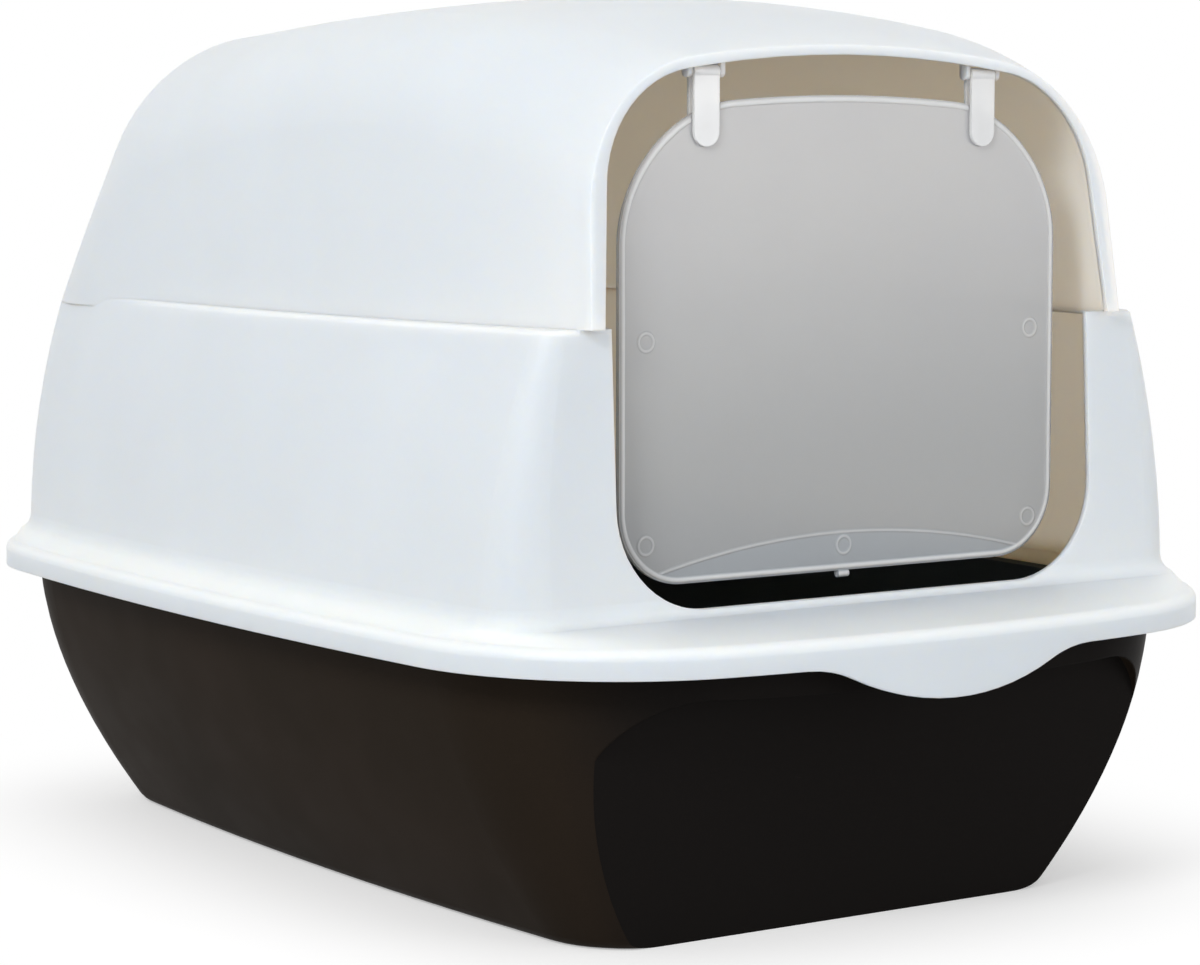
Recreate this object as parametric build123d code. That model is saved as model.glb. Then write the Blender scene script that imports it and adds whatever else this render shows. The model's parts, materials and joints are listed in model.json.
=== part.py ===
from build123d import *
from math import sqrt
import os

# Covered litter box: a tray, a hood that rests on it, and a swinging door on two clips.
# Millimetres. X is the width, -Y the front, Z up, and the origin is on the floor under the middle.

# Hood flange
overall_width = 400.0
overall_length = 560.0
rim_side_bow = 2350.0
rim_end_bow = 745.0
rim_front_corner = 100.0
rim_back_corner = 92.0
skirt_bottom = 120.0
skirt_height = 11.0
skirt_wall = 2.6
shelf_rise = 8.0
roll_run = 4.0
roll_drop = 3.5
roll_rise = 1.0
seat_width = 6.5
seat_drop = 3.0

# Pull lip at the middle of the front skirt
lip_width = 146.0
lip_drop = 16.0
lip_flank_share = 0.3

# Hood belt, from the flange up to the ledge
hood_wall = 2.5
side_shelf = 14.5
front_shelf = 59.0
back_shelf = 17.0
belt_height = 113.0
belt_side_lean = 16.5
belt_front_lean = 5.5
belt_back_lean = 6.0
belt_side_bow = 1500.0
belt_foot_bow = 2300.0
belt_curve_share = 1.7
belt_front_corner = 22.0
ledge_front_corner = 10.0
belt_back_corner = 62.0
ledge_back_corner = 50.0
shelf_blend = 5.0
blend_drop = 2.7
blend_rise = 5.0
ledge_round = 2.5

# Hood dome, from the ledge up to the roof
ledge_inset = 5.0
arch_overhang = 6.0
arch_lean_share = 0.115
roof_height = 384.5
brow_length = 70.0
front_drop = 25.0
brow_drop = 4.5
back_drop = 0.5
front_narrowing = 26.5
brow_narrowing = 13.0
back_narrowing = 8.0
dome_side_lean_share = 0.09
front_crown = 14.0
brow_crown = 16.0
middle_place = 60.0
middle_crown = 16.0
back_crown = 15.0
front_shoulder_share = 0.5
brow_shoulder_share = 0.42
middle_shoulder_share = 0.45
back_shoulder_share = 0.55
back_shoulder_start = 31.1375
back_slope_run = 112.0
back_slope_bulge = 5.0
back_round_share = 0.4
back_round_start = 5.0

# Arched opening in the front of the dome, and the hinge bars under its edge
arch_lip_depth = 2.5
opening_drop = 24.0
opening_narrowing = 33.0
opening_crown = 14.0
opening_shoulder_share = 0.38
bar_radius = 1.5
bar_spacing = 144.0
bar_drop = 7.5
bar_setback = 5.5
ear_radius = 2.4
ear_thickness = 2.0
ear_side_gap = 0.8
running_clearance = 0.05

# Doorway in the front of the belt
door_width = 248.0
door_sill = 139.0
door_corner = 42.0

# Tray
tray_wall = 2.5
tray_floor = 2.5
rim_clearance = 1.4
tray_shelf = 16.0
side_flare = 52.0
front_flare = 53.0
back_flare = 43.0
flare_curve_share = 1.75
flare_step_shares = (0, 0.25, 0.5, 0.75, 1)
tray_base_side_bow = 2300.0
tray_base_end_bow = 3500.0
tray_base_corner = 39.0
tray_front_corner = 98.0
tray_back_corner = 76.0
tray_edge_round = 9.0
panel_width = 286.0
panel_height = 118.0
panel_corner = 42.0
panel_foot_depth = 6.0
panel_top_depth = 22.0
foot_width = 16.0
foot_height = 2.0
rim_thickness = 2.5
rim_turn_down = 6.0

# Door flap
flap_side_gap = 10.5
flap_sill_gap = 8.5
flap_hang = 9.0
flap_crown = 9.0
flap_thickness = 2.2
flap_top_corner = 58.0
flap_bottom_corner = 30.0
flap_rim_width = 3.0
flap_rim_rise = 0.6
ridge_width = 2.4
ridge_foot = 2.0
ridge_rise = 17.0
boss_radius = 5.0
boss_height = 15.0
boss_top_drop = 98.0
boss_side_gap = 13.0
nub_width = 10.0
nub_drop = 3.0

# Hinge clips
clip_width = 12.5
clip_leg = 1.5
clip_length = 30.0
clip_end_share = 0.49
peg_radius = 2.0
peg_end_gap = 8.0

# Cuts run past the faces that they open by this much
overrun = 5.0

# Heights and places that follow from the sizes above
seat_height = skirt_bottom + skirt_height - seat_drop
shelf_edge = skirt_bottom + skirt_height
belt_foot = shelf_edge + shelf_rise
ledge_height = belt_foot + belt_height
belt_half_width = overall_width / 2 - side_shelf
belt_front = overall_length / 2 - front_shelf
belt_back = overall_length / 2 - back_shelf
ledge_half_width = belt_half_width - belt_side_lean
ledge_front = belt_front - belt_front_lean
ledge_back = belt_back - belt_back_lean
arch_front = -ledge_front - arch_overhang
dome_rise = roof_height - ledge_height
dome_half_width = ledge_half_width - ledge_inset
back_shoulder = dome_rise * back_shoulder_share + back_shoulder_start
back_round = dome_rise * back_round_share + back_round_start
hinge_height = roof_height - opening_drop - bar_drop
hinge_place = (hinge_height - ledge_height) * arch_lean_share + arch_front + bar_setback
eye_radius = bar_radius + running_clearance
loop_radius = eye_radius + clip_leg
hinge_sides = {"left": -bar_spacing / 2, "right": bar_spacing / 2}
side_plane = Plane.YZ
front_plane = Plane.XZ


def circles_meet(side_centre, side_radius, end_centre, end_radius):
    """Point at +X where a side arc, centred on the X axis, meets an end arc, centred on the Y axis."""
    reach = sqrt(side_centre**2 + end_centre**2)
    along = (side_radius**2 - end_radius**2 + reach**2) / (2 * reach)
    across = sqrt(side_radius**2 - along**2)
    toward = Vector(-side_centre / reach, end_centre / reach)
    aside = Vector(-toward.Y, toward.X)
    meets = [Vector(side_centre, 0) + toward * along + aside * across * turn for turn in (1, -1)]
    return max(meets, key=lambda meet: meet.X)


def bowed_outline(half_width, front, back, side_bow, front_bow, back_bow, front_corner, back_corner):
    """Plan outline with bowed sides and ends and rounded corners; a front bow of 0 is a straight front."""
    side_centre = half_width - side_bow
    rear = circles_meet(side_centre, side_bow, back - back_bow, back_bow)
    if front_bow:
        fore = circles_meet(side_centre, side_bow, front_bow - front, front_bow)
        front_edge = ThreePointArc((-fore.X, fore.Y), (0, -front), (fore.X, fore.Y))
    else:
        fore = Vector(side_centre + sqrt(side_bow**2 - front**2), -front)
        front_edge = Line((-fore.X, fore.Y), (fore.X, fore.Y))
    outline = make_face([
        front_edge,
        ThreePointArc((fore.X, fore.Y), (half_width, 0), (rear.X, rear.Y)),
        ThreePointArc((rear.X, rear.Y), (0, back), (-rear.X, rear.Y)),
        ThreePointArc((-rear.X, rear.Y), (-half_width, 0), (-fore.X, fore.Y)),
    ])
    outline = fillet(outline.vertices().group_by(Axis.Y)[0], front_corner)
    return fillet(outline.vertices().group_by(Axis.Y)[-1], back_corner)


def rim_outline(inset):
    """Outline of the hood's skirt, moved in by inset."""
    return bowed_outline(
        overall_width / 2 - inset, overall_length / 2 - inset, overall_length / 2 - inset,
        rim_side_bow - inset, rim_end_bow - inset, rim_end_bow - inset,
        rim_front_corner - inset, rim_back_corner - inset,
    )


def belt_outline(height, inset):
    """Outline of the belt at a height between its foot and the ledge, moved in by inset."""
    rise_share = max(height - belt_foot, 0) / belt_height
    curved_share = rise_share ** belt_curve_share
    return bowed_outline(
        belt_half_width - belt_side_lean * curved_share - inset,
        belt_front - belt_front_lean * rise_share - inset,
        belt_back - belt_back_lean * curved_share - inset,
        belt_foot_bow + (belt_side_bow - belt_foot_bow) * curved_share - inset,
        0, rim_end_bow - inset,
        belt_front_corner + (ledge_front_corner - belt_front_corner) * rise_share - inset,
        belt_back_corner + (ledge_back_corner - belt_back_corner) * rise_share - inset,
    )


def belt_body(bottom, top, inset):
    """Solid of the belt between two heights, moved in by inset."""
    heights = (bottom, (bottom + top) / 2, top)
    return loft([Pos(0, 0, height) * belt_outline(height, inset) for height in heights])


def arch_section(place, half_width, bottom, crown_height, crown, shoulder):
    """Upright section of the dome at a place along Y, with leaning legs and a crowned, rounded top."""
    shoulder_height = crown_height - crown
    lean = dome_side_lean_share * (shoulder_height - ledge_height)
    foot = half_width + dome_side_lean_share * (ledge_height - bottom)
    side = half_width - lean
    outline = make_face([
        Line((-foot, bottom), (foot, bottom)),
        Line((foot, bottom), (side, shoulder_height)),
        ThreePointArc((side, shoulder_height), (0, crown_height), (-side, shoulder_height)),
        Line((-side, shoulder_height), (-foot, bottom)),
    ])
    outline = fillet(outline.vertices().group_by(Axis.Y)[-1], shoulder)
    return Plane(origin=(0, place, 0), x_dir=(1, 0, 0), z_dir=(0, -1, 0)) * outline


def dome_body(bottom, inset):
    """Closed tunnel of the dome from a bottom height up, moved in by inset, with its rounded back."""
    half_width = dome_half_width - inset
    crown_height = roof_height - inset
    stations = (
        (arch_front, front_narrowing, front_drop, front_crown, dome_rise * front_shoulder_share),
        (arch_front + brow_length, brow_narrowing, brow_drop, brow_crown, dome_rise * brow_shoulder_share),
        (middle_place, 0, 0, middle_crown, dome_rise * middle_shoulder_share),
        (ledge_back, back_narrowing, back_drop, back_crown, back_shoulder),
    )
    tunnel = loft([
        arch_section(
            place, half_width - narrowing, bottom, crown_height - drop, crown, shoulder - inset)
        for place, narrowing, drop, crown, shoulder in stations
    ])
    back = ledge_back - ledge_inset - inset
    top_back = back - back_slope_run
    top = crown_height + overrun
    slope = SagittaArc((top_back, top), (back, bottom), back_slope_bulge)
    side_view = make_face([
        slope,
        Line((back, bottom), (-overall_length, bottom)),
        Line((-overall_length, bottom), (-overall_length, top)),
        Line((-overall_length, top), (top_back, top)),
    ])
    closed = tunnel & extrude(side_plane * side_view, overall_width, both=True)
    back_face = closed.faces().sort_by(Axis.Y)[-1]
    back_edges = back_face.edges().sort_by(Axis.Z)[1:]
    return fillet(back_edges, back_round - inset)


def behind_arch(depth):
    """All that lies further back than the leaning plane of the arch, moved back by depth."""
    front = depth + arch_front
    belt_face = depth - ledge_front
    top = roof_height + overall_width
    lean = (top - ledge_height) * arch_lean_share
    side_view = make_face(Polyline(
        (belt_face, 0), (overall_length, 0), (overall_length, top), (front + lean, top),
        (front, ledge_height), (belt_face, ledge_height),
        close=True,
    ))
    return extrude(side_plane * side_view, overall_width, both=True)


def skirt_roll_body():
    """Rolled edge from the skirt over on to the shelf, through three outlines."""
    foot = Pos(0, 0, shelf_edge - roll_drop) * rim_outline(0)
    turn = Pos(0, 0, shelf_edge + (roll_rise - roll_drop) / 4) * rim_outline(roll_run / 4)
    head = Pos(0, 0, shelf_edge + roll_rise) * rim_outline(roll_run)
    return loft([foot, turn, head])


def shelf_blend_body():
    """Hollow curve from the shelf up into the foot of the belt, through three outlines."""
    foot = Pos(0, 0, belt_foot - blend_drop) * belt_outline(belt_foot, -shelf_blend)
    turn = Pos(0, 0, belt_foot + (blend_rise - blend_drop) / 4) * belt_outline(belt_foot, -shelf_blend / 4)
    head = Pos(0, 0, belt_foot + blend_rise) * belt_outline(belt_foot + blend_rise, 0)
    return loft([foot, turn, head])


def skirt_and_belt():
    """Outer form of the skirt, the shelf that slopes up from it, and the belt on the shelf."""
    skirt = extrude(Pos(0, 0, skirt_bottom) * rim_outline(0), skirt_height - roll_drop)
    shelf = loft([
        Pos(0, 0, shelf_edge + roll_rise) * rim_outline(roll_run),
        Pos(0, 0, belt_foot - blend_drop) * belt_outline(belt_foot, -shelf_blend),
    ], ruled=True)
    belt = belt_body(belt_foot + blend_rise, ledge_height, 0)
    belt = fillet(belt.faces().sort_by(Axis.Z)[-1].edges(), ledge_round)
    return skirt + skirt_roll_body() + shelf + shelf_blend_body() + belt


def pull_lip():
    """Tongue that hangs from the middle of the front skirt, with S-shaped flanks."""
    wall = rim_outline(0) - rim_outline(skirt_wall)
    bottom = skirt_bottom - lip_drop
    ring = extrude(Pos(0, 0, bottom) * wall, lip_drop + skirt_height / 2)
    half_width = lip_width / 2
    turn_x = half_width * (1 - lip_flank_share)
    turn_z = skirt_bottom - lip_drop * lip_flank_share
    top = skirt_bottom + skirt_height
    front_view = make_face([
        TangentArc((-half_width, skirt_bottom), (-turn_x, turn_z), tangent=(1, 0)),
        TangentArc((0, bottom), (-turn_x, turn_z), tangent=(-1, 0)),
        TangentArc((0, bottom), (turn_x, turn_z), tangent=(1, 0)),
        TangentArc((half_width, skirt_bottom), (turn_x, turn_z), tangent=(-1, 0)),
        Line((half_width, skirt_bottom), (half_width, top)),
        Line((half_width, top), (-half_width, top)),
        Line((-half_width, top), (-half_width, skirt_bottom)),
    ])
    return ring & extrude(front_plane * front_view, overall_length)


def doorway():
    """Lower half of the doorway: a U-shaped opening through the front of the belt."""
    height = ledge_height + overrun - door_sill
    front_view = Pos(0, door_sill + height / 2) * Rectangle(door_width, height)
    front_view = fillet(front_view.vertices().group_by(Axis.Y)[0], door_corner)
    outside = extrude(front_plane * front_view, overall_length / 2)
    return outside - extrude(front_plane * front_view, ledge_front - 2 * hood_wall - overrun)


def hood_hollow():
    """Space inside the hood: under the skirt and shelf, in the belt, and through the arch of the dome."""
    under_skirt = extrude(
        Pos(0, 0, skirt_bottom - overrun) * rim_outline(skirt_wall), seat_height - skirt_bottom + overrun)
    shelf_top = belt_foot - seat_drop
    under_shelf = loft([
        Pos(0, 0, seat_height) * rim_outline(skirt_wall + seat_width),
        Pos(0, 0, shelf_top) * belt_outline(shelf_top, hood_wall),
    ], ruled=True)
    belt = belt_body(shelf_top, ledge_height - hood_wall, hood_wall)
    dome_bottom = ledge_height - 2 * hood_wall
    dome = dome_body(dome_bottom, hood_wall) & behind_arch(arch_lip_depth)
    return under_skirt + under_shelf + belt + dome + arch_opening()


def arch_opening():
    """Upper half of the doorway: the arched opening in the front of the dome."""
    outline = arch_section(
        arch_front + brow_length / 2, dome_half_width - opening_narrowing, ledge_height,
        roof_height - opening_drop, opening_crown, dome_rise * opening_shoulder_share)
    return extrude(outline, brow_length)


def hinge_bar(side):
    """Round bar along X between two ears that hang from the roof, which a clip of the door turns on."""
    ear_place = clip_width / 2 + ear_side_gap + ear_thickness / 2
    bar = Rot(0, 90, 0) * Cylinder(bar_radius, 2 * ear_place)
    ear_height = opening_crown + overrun
    for place in (-ear_place, ear_place):
        bar += Pos(place, 0, 0) * Rot(0, 90, 0) * Cylinder(ear_radius, ear_thickness)
        bar += Pos(place, 0, ear_height / 2) * Box(ear_thickness, 2 * ear_radius, ear_height)
    return Pos(side, hinge_place, hinge_height) * bar


def hood():
    """White cover: skirt with pull lip, sloping shelf, belt with the doorway, ledge and arched dome."""
    dome = dome_body(ledge_height - ledge_inset, 0) & behind_arch(0)
    shell = skirt_and_belt() + dome
    shell -= hood_hollow()
    shell -= doorway()
    shell += pull_lip()
    for side in hinge_sides.values():
        shell += hinge_bar(side) & dome
    return shell


def tray_outline(rise_share, inset):
    """Plan outline of the tray at a share of its height, moved in by inset."""
    flare = (1 - rise_share) ** flare_curve_share
    shelf = tray_shelf + inset
    base_corner = tray_base_corner * flare - inset
    side_bow = (rim_side_bow - tray_shelf) * (1 - flare) + tray_base_side_bow * flare - inset
    end_bow = (rim_end_bow - tray_shelf) * (1 - flare) + tray_base_end_bow * flare - inset
    return bowed_outline(
        overall_width / 2 - shelf - side_flare * flare,
        overall_length / 2 - shelf - front_flare * flare,
        overall_length / 2 - shelf - back_flare * flare,
        side_bow, end_bow, end_bow,
        tray_front_corner * (1 - flare) + base_corner,
        tray_back_corner * (1 - flare) + base_corner,
    )


def tray_form(bottom, top, inset):
    """Solid of the tray's flaring form between two heights, moved in by inset."""
    heights = [bottom + (top - bottom) * share for share in flare_step_shares]
    return loft([Pos(0, 0, height) * tray_outline(height / seat_height, inset) for height in heights])


def front_panel(inset):
    """All that lies in front of the tray's flat front panel, for a panel moved back by inset."""
    foot = overall_length / 2 - tray_shelf - front_flare - panel_foot_depth - inset
    head = overall_length / 2 - tray_shelf - panel_top_depth - inset
    slope = Plane(origin=(0, -foot, 0), x_dir=(1, 0, 0), z_dir=Vector(0, -seat_height, -(head - foot)))
    height = panel_height + inset + overrun
    outline = Pos(0, height / 2 - overrun) * Rectangle(panel_width + 2 * inset, height)
    outline = fillet(outline.vertices().group_by(Axis.Y)[-1], panel_corner + inset)
    return extrude(slope * outline, front_shelf)


def tray():
    """Dark pan with flaring walls, a flat front panel, a flanged rim and a foot round its base."""
    pan = tray_form(0, seat_height, 0)
    pan = fillet(pan.faces().sort_by(Axis.Z)[0].edges(), tray_edge_round)
    pan -= front_panel(0)
    rim = rim_outline(skirt_wall + rim_clearance)
    turned = rim - rim_outline(skirt_wall + rim_clearance + rim_thickness)
    pan += extrude(Pos(0, 0, seat_height - rim_thickness) * rim, rim_thickness)
    pan += extrude(Pos(0, 0, seat_height - rim_turn_down) * turned, rim_turn_down)
    floor_height = foot_height + tray_floor
    hollow = tray_form(floor_height, seat_height, tray_wall)
    hollow = fillet(hollow.faces().sort_by(Axis.Z)[0].edges(), tray_edge_round - tray_wall)
    pan -= hollow - front_panel(tray_wall)
    return pan - extrude(tray_outline(0, foot_width), foot_height)


def flap_outline(inset):
    """Front view of the door, moved in by inset: a crowned top, large upper corners, a straight bottom."""
    half_width = door_width / 2 - flap_side_gap - inset
    bottom = door_sill + flap_sill_gap + inset
    top = hinge_height - flap_hang - inset
    shoulder = top - flap_crown
    outline = make_face([
        Line((-half_width, bottom), (half_width, bottom)),
        Line((half_width, bottom), (half_width, shoulder)),
        ThreePointArc((half_width, shoulder), (0, top), (-half_width, shoulder)),
        Line((-half_width, shoulder), (-half_width, bottom)),
    ])
    outline = fillet(outline.vertices().group_by(Axis.Y)[0], flap_bottom_corner - inset)
    return fillet(outline.vertices().group_by(Axis.Y)[-1], flap_top_corner - inset)


def door_layer(outline, thickness):
    """Front view outline as a plate of a thickness, centred under the hinge axis."""
    return Pos(0, hinge_place, 0) * extrude(front_plane * outline, thickness / 2, both=True)


def push_ridge():
    """Low curved rib across the foot of the door, where it is pushed."""
    half_width = door_width / 2 - flap_side_gap - flap_rim_width - ridge_width
    low = door_sill + flap_sill_gap + flap_rim_width + ridge_foot
    arc = ThreePointArc((-half_width, low), (0, low + ridge_rise), (half_width, low))
    return trace(arc, ridge_width)


def flap():
    """Frosted door: a thin plate with a raised rim, a push ridge, round bosses and a pull nub."""
    plate = door_layer(flap_outline(0), flap_thickness)
    raised = flap_outline(0) - flap_outline(flap_rim_width)
    raised += push_ridge()
    half_width = door_width / 2 - flap_side_gap
    low = door_sill + flap_sill_gap + boss_height
    high = hinge_height - flap_hang - boss_top_drop
    boss_x = half_width - boss_side_gap
    for spot in ((0, low), (-boss_x, low), (boss_x, low), (-boss_x, high), (boss_x, high)):
        raised += Pos(*spot) * Circle(boss_radius)
    leg_seat = Rectangle(clip_width + 2 * ear_side_gap, 2 * (clip_length + ear_side_gap))
    for side in hinge_sides.values():
        raised -= Pos(side, hinge_height) * leg_seat
    plate += door_layer(raised, flap_thickness + 2 * flap_rim_rise)
    nub = Pos(0, door_sill + flap_sill_gap) * Rectangle(nub_width, 2 * nub_drop)
    plate += door_layer(nub, flap_thickness)
    for side in hinge_sides.values():
        plate -= clip_peg(side, running_clearance)
    return plate


def clip_peg(side, clearance):
    """Peg through a clip's two legs and the door between them."""
    height = hinge_height - clip_length + peg_end_gap
    length = flap_thickness + 2 * clip_leg
    return Pos(side, hinge_place, height) * Rot(90, 0, 0) * Cylinder(peg_radius + clearance, length)


def hinge_clip(side):
    """Clear strap looped over a hinge bar, with two legs that hold the door between them."""
    spread = flap_thickness / 2 + clip_leg
    legs = Pos(0, -clip_length / 2) * Rectangle(2 * spread, clip_length)
    slot = Pos(0, -clip_length / 2) * Rectangle(flap_thickness, clip_length)
    side_view = Circle(loop_radius) + legs - Circle(eye_radius) - slot
    strap = extrude(side_plane * side_view, clip_width / 2, both=True)
    front_view = Pos(0, (loop_radius - clip_length) / 2) * Rectangle(clip_width, clip_length + loop_radius)
    front_view = fillet(front_view.vertices().group_by(Axis.Y)[0], clip_width * clip_end_share)
    strap &= extrude(front_plane * front_view, loop_radius + overrun, both=True)
    strap = Pos(side, hinge_place, hinge_height) * strap
    return strap + clip_peg(side, 0)


pieces = {"tray": tray(), "hood": hood(), "flap": flap()}
for name, side in hinge_sides.items():
    pieces[f"hinge_clip_{name}"] = hinge_clip(side)

os.makedirs("parts", exist_ok=True)
for name, piece in pieces.items():
    export_step(piece, f"parts/{name}.step")
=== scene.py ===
"""Covered litter box: dresses the tray, the hood and the swinging door, and sets a plain studio round them."""

import json
import logging
import math
from dataclasses import dataclass, field
from enum import Enum
from typing import Any

import bpy
from mathutils import Matrix, Vector

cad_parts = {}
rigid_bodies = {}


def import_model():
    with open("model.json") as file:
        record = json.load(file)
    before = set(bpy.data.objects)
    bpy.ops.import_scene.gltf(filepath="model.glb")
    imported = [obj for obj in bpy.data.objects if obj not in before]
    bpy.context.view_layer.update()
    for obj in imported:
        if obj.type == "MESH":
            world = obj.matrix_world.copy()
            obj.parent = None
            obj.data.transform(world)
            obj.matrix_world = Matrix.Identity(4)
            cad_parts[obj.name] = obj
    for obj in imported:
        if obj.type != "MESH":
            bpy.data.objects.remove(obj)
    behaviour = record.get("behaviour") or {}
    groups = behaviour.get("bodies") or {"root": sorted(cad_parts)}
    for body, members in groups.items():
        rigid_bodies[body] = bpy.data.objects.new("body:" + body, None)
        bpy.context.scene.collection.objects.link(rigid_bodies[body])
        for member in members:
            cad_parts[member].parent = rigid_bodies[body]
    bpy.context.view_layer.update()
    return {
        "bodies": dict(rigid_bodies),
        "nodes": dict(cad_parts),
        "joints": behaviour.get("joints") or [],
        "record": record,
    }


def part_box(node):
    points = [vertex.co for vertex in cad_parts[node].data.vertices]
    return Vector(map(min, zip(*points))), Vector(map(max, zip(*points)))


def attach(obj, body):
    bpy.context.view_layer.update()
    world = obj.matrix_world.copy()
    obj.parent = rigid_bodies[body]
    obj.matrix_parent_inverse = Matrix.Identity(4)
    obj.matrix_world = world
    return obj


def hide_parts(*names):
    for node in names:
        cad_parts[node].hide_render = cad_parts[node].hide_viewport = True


LOG = logging.getLogger("litter_box")
SCREEN_MAX = 255
SCREEN_KNEE = 0.04045
SCREEN_SLOPE = 12.92
SCREEN_OFFSET = 0.055
SCREEN_POWER = 2.4

Colour = tuple[float, float, float]
Socket = bpy.types.NodeSocket


def linear(red: int, green: int, blue: int) -> Colour:
    """Turns a colour as seen on a screen into the linear values that shaders use.

    Args:
        red: Red from 0 to 255.
        green: Green from 0 to 255.
        blue: Blue from 0 to 255.

    Returns:
        The three linear values.
    """
    return screen_to_linear(red), screen_to_linear(green), screen_to_linear(blue)


def screen_to_linear(value: int) -> float:
    """Turns one screen value into a linear one, by the sRGB curve.

    Args:
        value: The value from 0 to 255.

    Returns:
        The linear value from 0 to 1.
    """
    share = value / SCREEN_MAX
    if share <= SCREEN_KNEE:
        return share / SCREEN_SLOPE
    return ((share + SCREEN_OFFSET) / (1 + SCREEN_OFFSET)) ** SCREEN_POWER


class NodeSheet:
    """The node tree of a material, a world or a shape, with short ways to add and join nodes."""

    def __init__(self, tree: bpy.types.NodeTree) -> None:
        """Empties the tree and keeps it."""
        self.tree = tree
        tree.nodes.clear()

    def add(self, kind: str, inputs: dict[Any, Any] | None = None, **settings: Any) -> bpy.types.Node:
        """Adds one node.

        Args:
            kind: The node's type name.
            inputs: Values or sockets for its inputs, by name or number.
            **settings: Attributes to set on the node first.

        Returns:
            The new node.
        """
        node = self.tree.nodes.new(kind)
        for name, value in settings.items():
            setattr(node, name, value)
        for key, value in (inputs or {}).items():
            if isinstance(value, bpy.types.NodeSocket):
                self.tree.links.new(value, node.inputs[key])
            else:
                node.inputs[key].default_value = value
        return node

    def math(self, operation: str, first: Any, second: Any = 0.0, clamp: bool = False) -> Socket:
        """Adds a math node and returns its value.

        Args:
            operation: Blender's name of the operation.
            first: First number or socket.
            second: Second number or socket.
            clamp: Whether the value is kept from 0 to 1.

        Returns:
            The value's socket.
        """
        return self.add("ShaderNodeMath", {0: first, 1: second}, operation=operation, use_clamp=clamp).outputs[0]

    def ramp(self, value: Socket, low: float, high: float, start: float, end: float) -> Socket:
        """Maps a value smoothly from one range to another.

        Args:
            value: The value to map.
            low: Value that gives start.
            high: Value that gives end.
            start: Result at and below low.
            end: Result at and above high.

        Returns:
            The mapped value's socket.
        """
        node = self.add(
            "ShaderNodeMapRange",
            {"Value": value, "From Min": low, "From Max": high, "To Min": start, "To Max": end},
            interpolation_type="SMOOTHSTEP",
        )
        return node.outputs["Result"]

    def noise(self, place: Socket, scale: float, detail: float = 2.0) -> Socket:
        """Adds a noise pattern.

        Args:
            place: The coordinates that it reads.
            scale: Its number of waves per metre.
            detail: Its number of finer layers.

        Returns:
            The pattern's value.
        """
        return self.add("ShaderNodeTexNoise", {"Vector": place, "Scale": scale, "Detail": detail}).outputs[0]

    def tint(self, share: Socket, first: Any, second: Any) -> Socket:
        """Mixes two colours by a share.

        Args:
            share: How much of the second colour shows.
            first: First colour or socket.
            second: Second colour or socket.

        Returns:
            The mixed colour's socket.
        """
        node = self.add("ShaderNodeMix", data_type="RGBA")
        for key, value in ((0, share), (6, first), (7, second)):
            if isinstance(value, bpy.types.NodeSocket):
                self.tree.links.new(value, node.inputs[key])
            else:
                node.inputs[key].default_value = (*value, 1.0)
        return node.outputs[2]

    def facing_in(
            self, place: Socket, heart: tuple[float, float, float], limits: tuple[float, float]) -> Socket:
        """Tells faces that look towards a point from those that look away.

        Args:
            place: The object's coordinates.
            heart: The point.
            limits: Cosines between a face's normal and its way from the point, for full and for no share.

        Returns:
            A share that is 1 on faces that look towards the point.
        """
        normal = self.add("ShaderNodeNewGeometry").outputs["Normal"]
        away = self.add("ShaderNodeVectorMath", {0: place, 1: heart}, operation="SUBTRACT").outputs[0]
        away = self.add("ShaderNodeVectorMath", {0: away}, operation="NORMALIZE").outputs[0]
        facing = self.add("ShaderNodeVectorMath", {0: normal, 1: away}, operation="DOT_PRODUCT").outputs["Value"]
        return self.ramp(facing, *limits, 1.0, 0.0)


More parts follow.
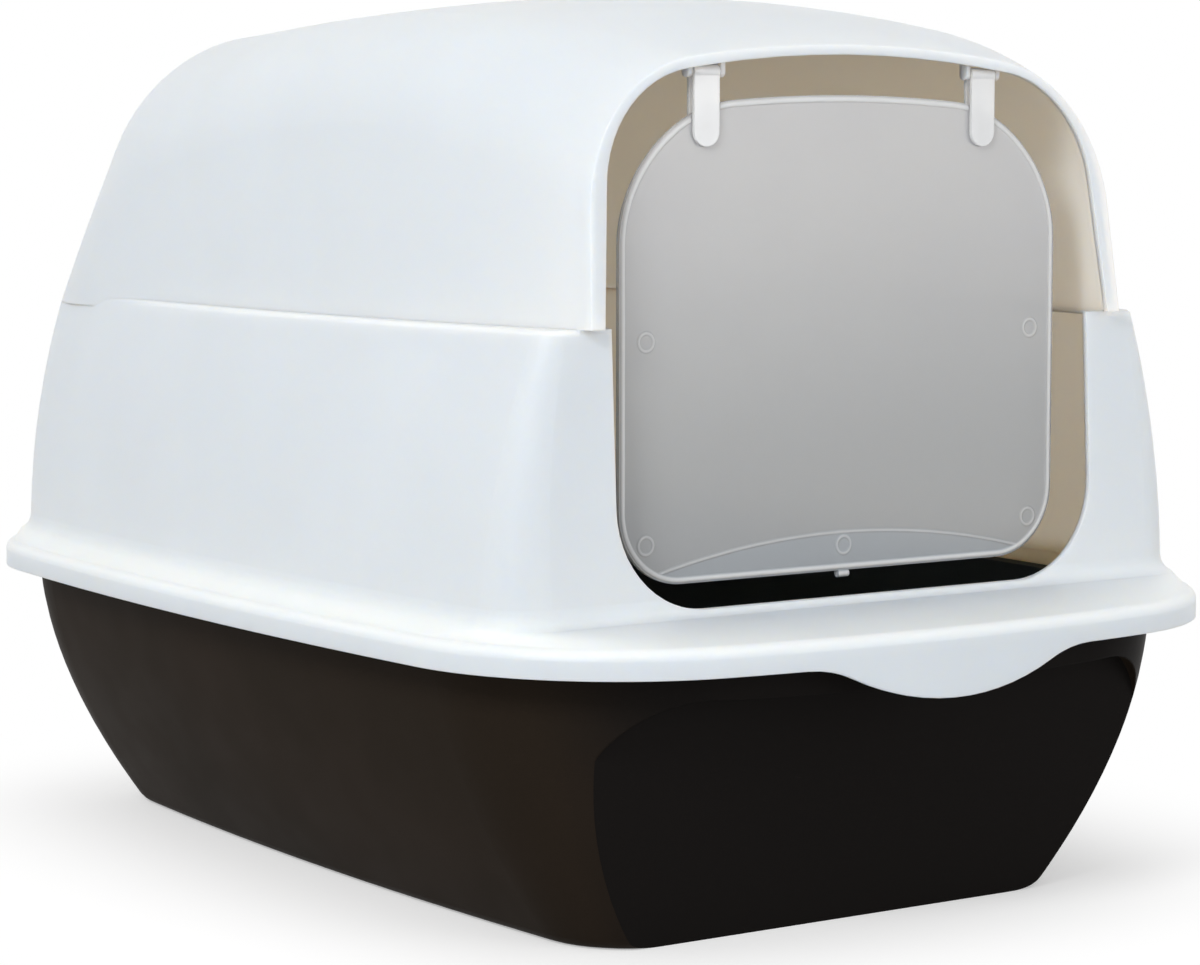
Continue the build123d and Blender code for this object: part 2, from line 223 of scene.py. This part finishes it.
@dataclass(frozen=True)
class MouldedPlastic:
    """A moulded plastic with a fine grain, a slow change of shade and soft edges.

    Attributes:
        name: The material's name.
        colour: Main colour, linear.
        shade: Colour where the slow change is darkest, linear.
        roughness: Lowest and highest roughness.
        grain: Waves per metre of the fine grain.
        grain_depth: Height of the grain in metres.
        edge: Radius in metres that edges seem rounded by.
        specular: The shader's specular level.
        cloud: Waves per metre of the slow change.
        cloud_range: Values of its pattern that give the main colour and the shade.
        smear_share: Waves of the change of roughness for each wave of the slow change.
        smear_range: Values of that pattern that give the lowest and the highest roughness.
        grain_layers: Finer layers in the grain.
        grain_strength: How strongly the grain bends the light.
        edge_samples: Samples for the soft edges.
    """

    name: str
    colour: Colour
    shade: Colour
    roughness: tuple[float, float]
    grain: float
    grain_depth: float
    edge: float
    specular: float = 0.5
    cloud: float = 9.0
    cloud_range: tuple[float, float] = (0.35, 0.65)
    smear_share: float = 4.0
    smear_range: tuple[float, float] = (0.3, 0.7)
    grain_layers: float = 3.0
    grain_strength: float = 0.6
    edge_samples: int = 4

    def colour_socket(self, sheet: NodeSheet, place: Socket) -> Socket:
        """Gives the colour, which changes slowly over the surface.

        Args:
            sheet: The material's nodes.
            place: The object's coordinates.

        Returns:
            The colour's socket.
        """
        cloud = sheet.noise(place, self.cloud)
        return sheet.tint(sheet.ramp(cloud, *self.cloud_range, 0.0, 1.0), self.colour, self.shade)

    def make(self) -> bpy.types.Material:
        """Builds the material.

        Returns:
            The new material.
        """
        material = bpy.data.materials.new(self.name)
        material.use_nodes = True
        sheet = NodeSheet(material.node_tree)
        place = sheet.add("ShaderNodeTexCoord").outputs["Object"]
        fine = sheet.noise(place, self.grain, self.grain_layers)
        soft_edge = sheet.add("ShaderNodeBevel", {"Radius": self.edge}, samples=self.edge_samples).outputs[0]
        bump = sheet.add(
            "ShaderNodeBump",
            {"Strength": self.grain_strength, "Distance": self.grain_depth, "Height": fine, "Normal": soft_edge},
        ).outputs[0]
        smears = sheet.noise(place, self.cloud * self.smear_share)
        shader = sheet.add(
            "ShaderNodeBsdfPrincipled",
            {
                "Base Color": self.colour_socket(sheet, place),
                "Roughness": sheet.ramp(smears, *self.smear_range, *self.roughness),
                "Specular IOR Level": self.specular,
                "Normal": bump,
            },
        )
        self.finish_shader(shader)
        sheet.add("ShaderNodeOutputMaterial", {"Surface": shader.outputs[0]})
        return material

    def finish_shader(self, shader: bpy.types.Node) -> None:
        """Sets what only some plastics have; the plain one needs nothing.

        Args:
            shader: The material's shader.
        """


@dataclass(frozen=True)
class TrayPlastic(MouldedPlastic):
    """Dark plastic of the tray, with painted shade on the faces turned to the front and painted light that makes its
    inside lighter and greyer.

    Attributes:
        front: Colour of the painted shade on the faces turned to the front, linear.
        inner_painted_shading: Colour of the painted light on the faces inside the pan, linear.
        front_shade_turn: How far a face looks to the front where the painted shade starts and where it is full.
        heart: Point above the tray that the faces inside it look towards.
        inside: Cosines from that point for faces that are fully and not at all inside.
    """

    front: Colour = (0.0, 0.0, 0.0)
    inner_painted_shading: Colour = (0.0, 0.0, 0.0)
    front_shade_turn: tuple[float, float] = (0.5, 0.94)
    heart: tuple[float, float, float] = (0.0, 0.0, 0.4)
    inside: tuple[float, float] = (-0.5, -0.38)

    def colour_socket(self, sheet: NodeSheet, place: Socket) -> Socket:
        """Gives the brown sides, the painted shade on the front and the painted light inside.

        Args:
            sheet: The material's nodes.
            place: The object's coordinates.

        Returns:
            The colour's socket.
        """
        sides = super().colour_socket(sheet, place)
        normal = sheet.add("ShaderNodeNewGeometry").outputs["Normal"]
        # Painted shade: faces turned to the front get a darker colour.
        ahead = sheet.add(
            "ShaderNodeVectorMath", {0: normal, 1: (0.0, -1.0, 0.0)}, operation="DOT_PRODUCT").outputs["Value"]
        outer = sheet.tint(sheet.ramp(ahead, *self.front_shade_turn, 0.0, 1.0), sides, self.front)
        # Painted light: faces inside the pan get a lighter, greyer colour.
        return sheet.tint(sheet.facing_in(place, self.heart, self.inside), outer, self.inner_painted_shading)


@dataclass(frozen=True)
class HoodPlastic(MouldedPlastic):
    """White plastic of the hood, with a painted warm shade on the faces inside it.

    Attributes:
        inner_painted_shading: Colour of the painted warm shade on the faces inside the hood, linear.
        heart: Point below the hood that the faces inside it look towards.
        inside: Cosines from that point for faces that are fully and not at all inside.
        glow: Share of the light that enters the wall.
        glow_depth: How far light goes in the wall, in metres.
        glow_reach: Shares of that depth for red, green and blue.
    """

    inner_painted_shading: Colour = (0.5, 0.5, 0.5)
    heart: tuple[float, float, float] = (0.0, 0.0, -0.3)
    inside: tuple[float, float] = (-0.25, -0.05)
    glow: float = 0.8
    glow_depth: float = 0.023
    glow_reach: tuple[float, float, float] = (1.0, 0.75, 0.52)

    def colour_socket(self, sheet: NodeSheet, place: Socket) -> Socket:
        """Gives the white outside and the painted warm shade inside.

        Args:
            sheet: The material's nodes.
            place: The object's coordinates.

        Returns:
            The colour's socket.
        """
        outside = super().colour_socket(sheet, place)
        # Painted shade: faces inside the hood get a warm tan tint.
        return sheet.tint(sheet.facing_in(place, self.heart, self.inside), outside, self.inner_painted_shading)

    def finish_shader(self, shader: bpy.types.Node) -> None:
        """Lets a little warm light through the thin wall.

        Args:
            shader: The material's shader.
        """
        shader.inputs["Subsurface Weight"].default_value = self.glow
        shader.inputs["Subsurface Radius"].default_value = self.glow_reach
        shader.inputs["Subsurface Scale"].default_value = self.glow_depth


@dataclass(frozen=True)
class ClearPlastic(MouldedPlastic):
    """Plastic that lets light through.

    Attributes:
        clearness: Share of the light that passes.
        bend: Index of refraction.
    """

    clearness: float = 0.5
    bend: float = 1.45

    def finish_shader(self, shader: bpy.types.Node) -> None:
        """Lets light pass.

        Args:
            shader: The material's shader.
        """
        shader.inputs["Transmission Weight"].default_value = self.clearness
        shader.inputs["IOR"].default_value = self.bend


@dataclass(frozen=True)
class FlapPlastic(ClearPlastic):
    """Frosted plastic of the flap, with painted shade that darkens it towards its foot and a painted highlight where
    it stands out from the plate.

    Attributes:
        foot: Colour of the painted shade at the flap's foot, linear.
        pad: Colour of the pad under the ridge, linear.
        raised: Colour of the painted highlight on the bead, the ridge and the rings, linear.
        fall: Heights at which the painted shade at the foot is full and where it ends.
        plane: The plate's middle, along the box.
        highlight_relief: Distances from that plane where the painted highlight starts and is full.
        pad_top: Height of the ridge over the pad, in its middle.
        pad_bow: How fast the ridge falls to its sides, per metre.
        pad_edge: Half the width of the pad's soft edge.
    """

    foot: Colour = (0.5, 0.5, 0.5)
    pad: Colour = (0.5, 0.5, 0.5)
    raised: Colour = (1.0, 1.0, 1.0)
    fall: tuple[float, float] = (0.18, 0.34)
    plane: float = -0.204385
    highlight_relief: tuple[float, float] = (0.0012, 0.0017)
    pad_top: float = 0.1635
    pad_bow: float = 1.29
    pad_edge: float = 0.001

    def colour_socket(self, sheet: NodeSheet, place: Socket) -> Socket:
        """Gives the plate's painted shade towards its foot, the pad and the painted highlight on the raised parts.

        Args:
            sheet: The material's nodes.
            place: The object's coordinates.

        Returns:
            The colour's socket.
        """
        x_y_z = sheet.add("ShaderNodeSeparateXYZ", {0: place}).outputs
        # Painted shade: the plate darkens towards its foot, standing in for the dark tray seen through it.
        plate = sheet.tint(sheet.ramp(x_y_z[2], *self.fall, 1.0, 0.0), super().colour_socket(sheet, place), self.foot)
        bow = sheet.math("MULTIPLY", sheet.math("MULTIPLY", x_y_z[0], x_y_z[0]), self.pad_bow)
        over = sheet.math("SUBTRACT", sheet.math("ADD", x_y_z[2], bow), self.pad_top)
        plate = sheet.tint(sheet.ramp(over, -self.pad_edge, self.pad_edge, 1.0, 0.0), plate, self.pad)
        # Painted highlight: the surface turns paler where it stands out from the plate.
        out = sheet.math("ABSOLUTE", sheet.math("SUBTRACT", x_y_z[1], self.plane))
        return sheet.tint(sheet.ramp(out, *self.highlight_relief, 0.0, 1.0), plate, self.raised)


class Finish(Enum):
    """The finishes of the box."""

    # The tray's front colour is painted shade and its inside colour is painted light.
    TRAY = TrayPlastic(
        "tray_dark_plastic", linear(39, 32, 26), linear(36, 30, 24), (0.44, 0.48), 1400.0, 0.00008, 0.0012, 0.012,
        front=linear(23, 21, 20), inner_painted_shading=linear(80, 86, 88))
    # The hood's inside colour is painted warm shade.
    HOOD = HoodPlastic(
        "hood_white_plastic", linear(253, 246, 236), linear(250, 243, 233), (0.42, 0.5), 900.0, 0.00003, 0.001, 0.35,
        inner_painted_shading=linear(246, 235, 222))
    # The flap's foot colour is painted shade and its raised colour is a painted highlight.
    FLAP = FlapPlastic(
        "flap_frosted_plastic", linear(220, 221, 223), linear(217, 218, 221), (0.2, 0.26), 1600.0, 0.00003, 0.0005,
        clearness=0.5, bend=1.3, foot=linear(189, 192, 195), pad=linear(189, 195, 201), raised=linear(244, 247, 250))
    CLIP = ClearPlastic(
        "clip_clear_plastic", linear(252, 253, 254), linear(248, 249, 251), (0.1, 0.18), 500.0, 0.00002, 0.0006,
        clearness=0.48)

    def dress(self, piece: bpy.types.Object) -> None:
        """Gives a piece this finish in all its material slots.

        Args:
            piece: The object to dress.
        """
        for slot in piece.material_slots:
            slot.material = self.material()

    def material(self) -> bpy.types.Material:
        """Gives this finish's material, made once.

        Returns:
            The material.
        """
        return bpy.data.materials.get(self.value.name) or self.value.make()


@dataclass
class Tray:
    """The dark pan that holds the litter.

    Attributes:
        nodes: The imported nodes.
    """

    nodes: dict[str, bpy.types.Object]

    def dress(self) -> None:
        """Dresses the pan."""
        Finish.TRAY.dress(self.nodes["tray"])
        LOG.info("tray dressed")


@dataclass
class Hood:
    """The white cover that rests on the tray.

    Attributes:
        nodes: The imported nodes.
    """

    nodes: dict[str, bpy.types.Object]

    def dress(self) -> None:
        """Dresses the cover."""
        Finish.HOOD.dress(self.nodes["hood"])
        LOG.info("hood dressed")


@dataclass
class PanelTree:
    """Node tree of the door's panel: a plate with a bead round it, a ridge, rings and a nub, in one skin.

    Attributes:
        sizes: Names and values of the tree's size inputs, in metres.
        bead_sides: Sides of the bead's and the rings' round section.
        outline_points: Points round the panel's outline.
        corner_points: Points in each rounded corner.
        ring_points: Points round each ring.
        ridge_points: Points along the ridge.
        merge: Distance under which points are merged.
        nub_share: Half the nub's length, as a share of its height.
    """

    sizes: dict[str, float]
    bead_sides: int = 14
    outline_points: int = 320
    corner_points: int = 24
    ring_points: int = 40
    ridge_points: int = 64
    merge: float = 1e-6
    nub_share: float = 0.9
    tree: bpy.types.NodeTree = field(init=False)
    sheet: NodeSheet = field(init=False)
    given: dict[str, Socket] = field(init=False)

    def __post_init__(self) -> None:
        """Makes the empty tree with its inputs and its output."""
        self.tree = bpy.data.node_groups.new("door_panel", "GeometryNodeTree")
        self.sheet = NodeSheet(self.tree)
        outside = self.tree.interface
        outside.new_socket("Ring Places", in_out="INPUT", socket_type="NodeSocketGeometry")
        for name in self.sizes:
            outside.new_socket(name, in_out="INPUT", socket_type="NodeSocketFloat")
        outside.new_socket("Finish", in_out="INPUT", socket_type="NodeSocketMaterial")
        outside.new_socket("Panel", in_out="OUTPUT", socket_type="NodeSocketGeometry")
        self.given = {socket.name: socket for socket in self.sheet.add("NodeGroupInput").outputs}

    def vector(self, x: Any, y: Any, z: Any = 0.0) -> Socket:
        """Joins three numbers into a vector.

        Args:
            x: First number or socket.
            y: Second number or socket.
            z: Third number or socket.

        Returns:
            The vector's socket.
        """
        return self.sheet.add("ShaderNodeCombineXYZ", {0: x, 1: y, 2: z}).outputs[0]

    def half(self, name: str) -> Socket:
        """Gives half of an input.

        Args:
            name: The input's name.

        Returns:
            The value's socket.
        """
        return self.sheet.math("MULTIPLY", self.given[name], 0.5)

    def outline(self, inset: Any) -> Socket:
        """Draws the panel's outline.

        Args:
            inset: How far it is moved in.

        Returns:
            The closed curve.
        """
        sheet = self.sheet
        double = sheet.math("MULTIPLY", inset, 2.0)
        frame = sheet.add(
            "GeometryNodeCurvePrimitiveQuadrilateral",
            {
                "Width": sheet.math("SUBTRACT", self.given["Width"], double),
                "Height": sheet.math("SUBTRACT", self.given["Height"], double),
            },
        ).outputs[0]
        place = sheet.add("ShaderNodeSeparateXYZ", {0: sheet.add("GeometryNodeInputPosition").outputs[0]}).outputs
        upper = sheet.math("GREATER_THAN", place[1], 0.0)
        wider = sheet.math("SUBTRACT", self.given["Top Corner"], self.given["Bottom Corner"])
        corner = sheet.math("ADD", self.given["Bottom Corner"], sheet.math("MULTIPLY", upper, wider))
        frame = sheet.add(
            "GeometryNodeFilletCurve",
            {"Curve": frame, "Count": self.corner_points, "Radius": sheet.math("SUBTRACT", corner, inset)},
            mode="POLY",
        ).outputs[0]
        frame = sheet.add(
            "GeometryNodeResampleCurve", {"Curve": frame, "Count": self.outline_points}, mode="COUNT").outputs[0]
        across = sheet.math("DIVIDE", place[0], self.half("Width"))
        fall = sheet.math("MULTIPLY", sheet.math("MULTIPLY", across, across), self.given["Crown"])
        height = sheet.add("ShaderNodeClamp", {0: sheet.math("DIVIDE", place[1], self.half("Height"))}).outputs[0]
        drop = sheet.math("MULTIPLY", sheet.math("MULTIPLY", fall, height), -1.0)
        return sheet.add("GeometryNodeSetPosition", {"Geometry": frame, "Offset": self.vector(0.0, drop)}).outputs[0]

    def sweep(self, path: Socket, radius: Any) -> Socket:
        """Sweeps a round section along a path.

        Args:
            path: The curve to follow.
            radius: The section's radius.

        Returns:
            The closed skin.
        """
        section = self.sheet.add(
            "GeometryNodeCurvePrimitiveCircle", {"Resolution": self.bead_sides, "Radius": radius}).outputs[0]
        return self.sheet.add(
            "GeometryNodeCurveToMesh", {"Curve": path, "Profile Curve": section, "Fill Caps": True}).outputs[0]

    def plate(self) -> Socket:
        """Makes the flat plate.

        Returns:
            The closed skin.
        """
        sheet = self.sheet
        face = sheet.add("GeometryNodeFillCurve", {0: self.outline(0.0)}, mode="NGONS").outputs[0]
        raised = sheet.add(
            "GeometryNodeExtrudeMesh",
            {"Mesh": face, "Offset Scale": self.given["Thickness"], "Individual": False},
        ).outputs[0]
        back = sheet.add("GeometryNodeFlipFaces", {0: face}).outputs[0]
        both = sheet.add("GeometryNodeJoinGeometry")
        for part in (raised, back):
            self.tree.links.new(part, both.inputs[0])
        closed = sheet.add(
            "GeometryNodeMergeByDistance", {"Geometry": both.outputs[0], "Distance": self.merge}).outputs[0]
        down = self.vector(0.0, 0.0, sheet.math("MULTIPLY", self.given["Thickness"], -0.5))
        return sheet.add("GeometryNodeTransform", {"Geometry": closed, "Translation": down}).outputs[0]

    def bead(self) -> Socket:
        """Makes the bead along the panel's edge, with gaps for the clips.

        Returns:
            The closed skin.
        """
        sheet = self.sheet
        ring = self.sweep(self.outline(self.given["Bead"]), self.given["Bead"])
        cut = sheet.add("GeometryNodeMeshBoolean", operation="DIFFERENCE", solver="EXACT")
        self.tree.links.new(ring, cut.inputs["Mesh 1"])
        seat = sheet.add(
            "GeometryNodeMeshCube",
            {"Size": self.vector(self.given["Clip Seat"], self.given["Top Corner"], self.given["Clip Seat"])},
        ).outputs[0]
        for side in (-0.5, 0.5):
            spot = self.vector(sheet.math("MULTIPLY", self.given["Clip Spacing"], side), self.half("Height"))
            moved = sheet.add("GeometryNodeTransform", {"Geometry": seat, "Translation": spot}).outputs[0]
            self.tree.links.new(moved, cut.inputs["Mesh 2"])
        return cut.outputs[0]

    def ridge(self) -> Socket:
        """Makes the curved ridge across the panel's foot.

        Returns:
            The closed skin.
        """
        sheet = self.sheet
        low = sheet.math("SUBTRACT", self.given["Ridge Foot"], self.half("Height"))
        reach = sheet.math("SUBTRACT", self.half("Width"), self.given["Ridge Side Gap"])
        arc = sheet.add(
            "GeometryNodeCurveArc",
            {
                "Start": self.vector(sheet.math("MULTIPLY", reach, -1.0), low),
                "Middle": self.vector(0.0, sheet.math("ADD", low, self.given["Ridge Rise"])),
                "End": self.vector(reach, low),
                "Resolution": self.ridge_points,
            },
            mode="POINTS",
        ).outputs[0]
        return self.sweep(arc, self.given["Thin Bead"])

    def rings(self) -> Socket:
        """Sets a small ring on each ring place.

        Returns:
            The closed skin.
        """
        sheet = self.sheet
        circle = sheet.add(
            "GeometryNodeCurvePrimitiveCircle", {"Resolution": self.ring_points, "Radius": self.given["Ring"]},
        ).outputs[0]
        ring = self.sweep(circle, self.given["Thin Bead"])
        spread = sheet.add(
            "GeometryNodeInstanceOnPoints", {"Points": self.given["Ring Places"], "Instance": ring}).outputs[0]
        return sheet.add("GeometryNodeRealizeInstances", {0: spread}).outputs[0]

    def nub(self) -> Socket:
        """Makes the small nub under the panel's foot.

        Returns:
            The closed skin.
        """
        sheet = self.sheet
        low = sheet.math("SUBTRACT", self.given["Bead"], sheet.math("ADD", self.half("Height"), self.given["Nub"]))
        reach = sheet.math("MULTIPLY", self.given["Nub"], self.nub_share)
        line = sheet.add(
            "GeometryNodeCurvePrimitiveLine",
            {"Start": self.vector(sheet.math("MULTIPLY", reach, -1.0), low), "End": self.vector(reach, low)},
        ).outputs[0]
        return self.sweep(line, self.given["Bead"])

    def finish(self) -> None:
        """Joins the parts into one skin and gives it its material."""
        sheet = self.sheet
        skin = sheet.add("GeometryNodeMeshBoolean", operation="UNION", solver="EXACT")
        for part in (self.plate(), self.bead(), self.ridge(), self.rings(), self.nub()):
            self.tree.links.new(part, skin.inputs["Mesh 2"])
        plain_mesh = sheet.add("GeometryNodeRealizeInstances", {0: skin.outputs[0]}).outputs[0]
        dressed = sheet.add(
            "GeometryNodeSetMaterial", {"Geometry": plain_mesh, "Material": self.given["Finish"]}).outputs[0]
        sheet.add("NodeGroupOutput", {0: dressed})


@dataclass
class Door:
    """The frosted flap and the two clear clips that it hangs from.

    Attributes:
        nodes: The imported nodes.
        body: The body that swings.
        clips: Names of the clips' nodes.
        thickness: Thickness of the panel's plate.
        nub: How far the nub stands down from the panel.
        crown: Rise of the panel's top edge.
        top_corner: Radius of the top corners.
        bottom_corner: Radius of the bottom corners.
        ring: Radius of the rings.
        ring_side_gap: From the panel's sides to the side rings.
        ring_low: From the panel's foot to the low side rings.
        ring_middle: From the panel's foot to the middle ring.
        ring_high: From the panel's top to the high side rings.
        thin_bead: Radius of the ridge's and the rings' section.
        ridge_foot: From the panel's foot to the ridge's ends.
        ridge_side_gap: From the panel's sides to the ridge's ends.
        ridge_rise: Rise of the ridge over its ends.
        clip_spacing: Distance between the clips.
        clip_seat: Width of the gap in the bead at each clip.
        sharp: Angle in degrees over which an edge stays sharp.
    """

    nodes: dict[str, bpy.types.Object]
    body: str = "door_body"
    clips: tuple[str, ...] = ("hinge_clip_left", "hinge_clip_right")
    thickness: float = 0.0022
    nub: float = 0.003
    crown: float = 0.009
    top_corner: float = 0.056
    bottom_corner: float = 0.03
    ring: float = 0.0036
    ring_side_gap: float = 0.013
    ring_low: float = 0.0165
    ring_middle: float = 0.0106
    ring_high: float = 0.0985
    thin_bead: float = 0.00145
    ridge_foot: float = 0.0045
    ridge_side_gap: float = 0.019
    ridge_rise: float = 0.0115
    clip_spacing: float = 0.144
    clip_seat: float = 0.0142
    sharp: float = 40.0

    def ring_places(self, width: float, height: float) -> list[tuple[float, float, float]]:
        """Gives the middles of the rings, from the panel's middle.

        Args:
            width: The panel's width.
            height: The panel's height.

        Returns:
            A point for each ring.
        """
        side = width / 2 - self.ring_side_gap
        low = self.ring_low - height / 2
        high = height / 2 - self.ring_high
        middle = self.ring_middle - height / 2
        return [(0.0, middle, 0.0), (-side, low, 0.0), (side, low, 0.0), (-side, high, 0.0), (side, high, 0.0)]

    def build_panel(self) -> bpy.types.Object:
        """Builds the panel in place of the flap's node.

        Returns:
            The panel's object.
        """
        low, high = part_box("flap")
        width, height = high.x - low.x, high.z - low.z - self.nub
        sizes = {
            "Width": width, "Height": height, "Crown": self.crown, "Top Corner": self.top_corner,
            "Bottom Corner": self.bottom_corner, "Thickness": self.thickness, "Bead": (high.y - low.y) / 2,
            "Thin Bead": self.thin_bead, "Ring": self.ring, "Ridge Foot": self.ridge_foot,
            "Ridge Side Gap": self.ridge_side_gap, "Ridge Rise": self.ridge_rise, "Nub": self.nub,
            "Clip Spacing": self.clip_spacing, "Clip Seat": self.clip_seat,
        }
        panel_tree = PanelTree(sizes)
        panel_tree.finish()
        places = bpy.data.meshes.new("ring_places")
        places.from_pydata(self.ring_places(width, height), [], [])
        maker = bpy.data.objects.new("panel_maker", places)
        bpy.context.scene.collection.objects.link(maker)
        modifier = maker.modifiers.new("panel", "NODES")
        modifier.node_group = panel_tree.tree
        for socket in panel_tree.tree.interface.items_tree:
            if socket.in_out == "INPUT" and socket.name in sizes:
                modifier[socket.identifier] = sizes[socket.name]
            elif socket.name == "Finish":
                modifier[socket.identifier] = Finish.FLAP.material()
        bpy.context.view_layer.update()
        mesh = bpy.data.meshes.new_from_object(maker.evaluated_get(bpy.context.evaluated_depsgraph_get()))
        maker.modifiers.remove(modifier)
        bpy.data.objects.remove(maker)
        middle = Vector((0.0, (low.y + high.y) / 2, high.z - height / 2))
        mesh.transform(Matrix.Translation(middle) @ Matrix.Rotation(math.pi / 2, 4, "X"))
        mesh.shade_smooth()
        mesh.set_sharp_from_angle(angle=math.radians(self.sharp))
        panel = bpy.data.objects.new("flap_panel", mesh)
        bpy.context.scene.collection.objects.link(panel)
        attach(panel, self.body)
        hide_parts("flap")
        return panel

    def dress(self) -> None:
        """Builds the panel and dresses the clips."""
        panel = self.build_panel()
        LOG.info("flap panel built with %d faces", len(panel.data.polygons))
        for clip in self.clips:
            Finish.CLIP.dress(self.nodes[clip])
            LOG.info("%s dressed", clip)


@dataclass(frozen=True)
class SoftBox:
    """A large square lamp.

    Attributes:
        name: The lamp's name.
        place: Where it hangs, in metres.
        width: Its side in metres.
        power: Its power in watts.
    """

    name: str
    place: tuple[float, float, float]
    width: float
    power: float

    def hang(self, target: Vector) -> None:
        """Hangs the lamp and turns it to a point.

        Args:
            target: The point that it lights.
        """
        lamp = bpy.data.lights.new(self.name, "AREA")
        lamp.size = self.width
        lamp.energy = self.power
        holder = bpy.data.objects.new(self.name, lamp)
        bpy.context.scene.collection.objects.link(holder)
        holder.location = self.place
        holder.rotation_euler = (target - Vector(self.place)).to_track_quat("-Z", "Y").to_euler()


@dataclass
class Studio:
    """A pale floor that fades into white, soft lamps and the camera.

    Attributes:
        target: The point that the camera and the lamps look towards.
        turn: The camera's angle round the box, in degrees.
        rise: The camera's angle above the floor, in degrees.
        reach: The camera's distance from the target.
        lens: Focal length in millimetres.
        sensor: Width of the camera's sensor in millimetres.
        shift: How far the picture is moved, in widths of the frame.
        ambient: Strength of the light from all round.
        floor_half: Half the floor's side.
        floor_colour: The floor's colour, linear.
        floor_glow: Light that the floor adds for the camera.
        foot: Half the sides of the box's foot.
        fade: Distances from the foot at which the floor starts and ends to fade into white.
    """

    target: Vector = field(default_factory=lambda: Vector((0.0, 0.0, 0.18)))
    turn: float = -33.77
    rise: float = 5.19
    reach: float = 1.61342
    lens: float = 104.256
    sensor: float = 36.0
    shift: tuple[float, float] = (0.02587, -0.02298)
    ambient: float = 0.745
    floor_half: float = 8.0
    floor_colour: Colour = (0.75, 0.75, 0.75)
    floor_glow: float = 0.36
    foot: tuple[float, float, float] = (0.13, 0.2, 0.0)
    fade: tuple[float, float] = (0.0, 0.2)
    lamps: tuple[SoftBox, ...] = (
        SoftBox("lamp_top", (-0.3, -0.4, 2.4), 2.0, 1.0),
        SoftBox("lamp_left", (-1.875, -1.08, 1.43), 0.6, 28.0),
        SoftBox("lamp_front", (1.0, -2.5, 0.5), 1.4, 16.0),
    )

    def set_camera(self) -> None:
        """Places the camera at the photograph's angle."""
        camera = bpy.data.cameras.new("camera")
        camera.lens = self.lens
        camera.sensor_fit = "HORIZONTAL"
        camera.sensor_width = self.sensor
        camera.shift_x, camera.shift_y = self.shift
        holder = bpy.data.objects.new("camera", camera)
        bpy.context.scene.collection.objects.link(holder)
        turn, rise = math.radians(self.turn), math.radians(self.rise)
        way = Vector((math.sin(turn) * math.cos(rise), -math.cos(turn) * math.cos(rise), math.sin(rise)))
        holder.location = self.target + way * self.reach
        holder.rotation_euler = (-way).to_track_quat("-Z", "Y").to_euler()
        bpy.context.scene.camera = holder

    def seen(self, sheet: NodeSheet) -> Socket:
        """Tells rays that show a surface to the camera, also through gloss and clear plastic.

        Args:
            sheet: The nodes of the floor or the world.

        Returns:
            A value that is 1 for such rays.
        """
        path = sheet.add("ShaderNodeLightPath").outputs
        glossy = sheet.math("MAXIMUM", path["Is Camera Ray"], path["Is Glossy Ray"])
        return sheet.math("MAXIMUM", glossy, path["Is Transmission Ray"])

    def set_world(self) -> None:
        """Sets an even light from all round that shows as white."""
        world = bpy.data.worlds.new("studio")
        world.use_nodes = True
        sheet = NodeSheet(world.node_tree)
        strength = sheet.ramp(self.seen(sheet), 0.0, 1.0, self.ambient, 1.0)
        light = sheet.add("ShaderNodeBackground", {"Color": (1.0, 1.0, 1.0, 1.0), "Strength": strength})
        sheet.add("ShaderNodeOutputWorld", {"Surface": light.outputs[0]})
        bpy.context.scene.world = world

    def lay_floor(self) -> None:
        """Lays the floor, which keeps the shadow near the box and fades into white further out."""
        half = self.floor_half
        mesh = bpy.data.meshes.new("floor")
        mesh.from_pydata([(-half, -half, 0), (half, -half, 0), (half, half, 0), (-half, half, 0)], [], [(0, 1, 2, 3)])
        floor = bpy.data.objects.new("floor", mesh)
        bpy.context.scene.collection.objects.link(floor)
        material = bpy.data.materials.new("floor")
        material.use_nodes = True
        sheet = NodeSheet(material.node_tree)
        place = sheet.add("ShaderNodeTexCoord").outputs["Object"]
        outside = sheet.add("ShaderNodeVectorMath", {0: place}, operation="ABSOLUTE").outputs[0]
        outside = sheet.add("ShaderNodeVectorMath", {0: outside, 1: self.foot}, operation="SUBTRACT").outputs[0]
        outside = sheet.add("ShaderNodeVectorMath", {0: outside, 1: (0.0, 0.0, 0.0)}, operation="MAXIMUM").outputs[0]
        distance = sheet.add("ShaderNodeVectorMath", {0: outside}, operation="LENGTH").outputs["Value"]
        seen = self.seen(sheet)
        far = sheet.math("MULTIPLY", sheet.ramp(distance, *self.fade, 0.0, 1.0), seen)
        matt = sheet.add("ShaderNodeBsdfDiffuse", {"Color": (*self.floor_colour, 1.0)})
        glow = sheet.add("ShaderNodeEmission", {"Strength": sheet.math("MULTIPLY", seen, self.floor_glow)})
        near = sheet.add("ShaderNodeAddShader", {0: matt.outputs[0], 1: glow.outputs[0]})
        white = sheet.add("ShaderNodeEmission", {"Strength": 1.0})
        both = sheet.add("ShaderNodeMixShader", {0: far, 1: near.outputs[0], 2: white.outputs[0]})
        sheet.add("ShaderNodeOutputMaterial", {"Surface": both.outputs[0]})
        mesh.materials.append(material)

    def build(self) -> None:
        """Sets up the camera, the light and the floor."""
        self.set_camera()
        self.set_world()
        self.lay_floor()
        for lamp in self.lamps:
            lamp.hang(self.target)
        bpy.context.scene.view_settings.view_transform = "Standard"
        LOG.info("studio set")


def main() -> None:
    """Builds the studio and dresses the tray, the hood and the door."""
    logging.basicConfig(level=logging.INFO, format="%(message)s")
    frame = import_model()
    Studio().build()
    for assembly in (Tray(frame["nodes"]), Hood(frame["nodes"]), Door(frame["nodes"])):
        assembly.dress()


if __name__ == "__main__":
    main()
